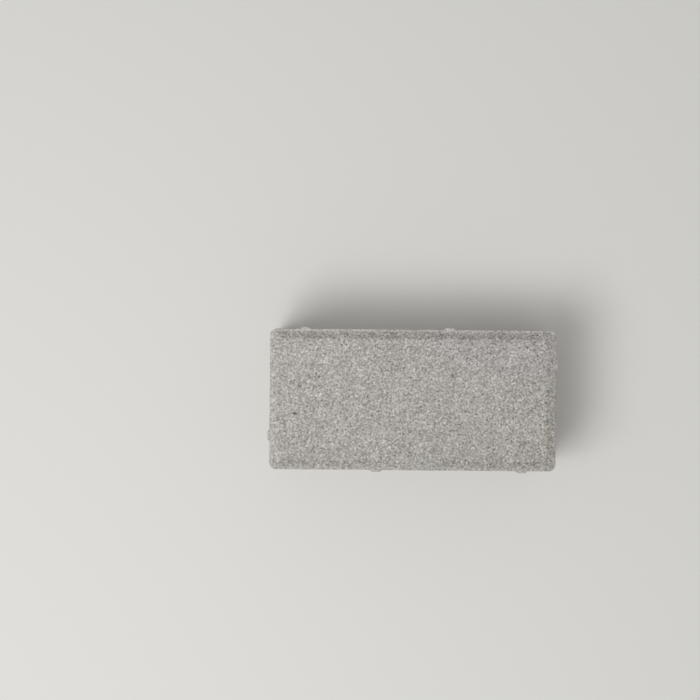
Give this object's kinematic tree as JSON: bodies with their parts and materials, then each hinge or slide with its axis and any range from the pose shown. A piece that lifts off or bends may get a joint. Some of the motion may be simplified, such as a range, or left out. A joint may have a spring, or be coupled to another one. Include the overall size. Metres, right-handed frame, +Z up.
{
  "type": "concrete paving stone",
  "caption": "Rectangular grey concrete paving stone with a bevelled wearing face, rounded upright corners and spacer nibs on its sides.",
  "frame": {"origin": "middle of the underside, on the bedding plane", "axes": "+X along the stone, +Y across it, +Z up to the wearing face"},
  "size_m": [0.1994, 0.0994, 0.08],
  "materials": {
    "concrete": "matte"
  },
  "bodies": {
    "root": {"paving_stone": "concrete"}
  },
  "joints": []
}
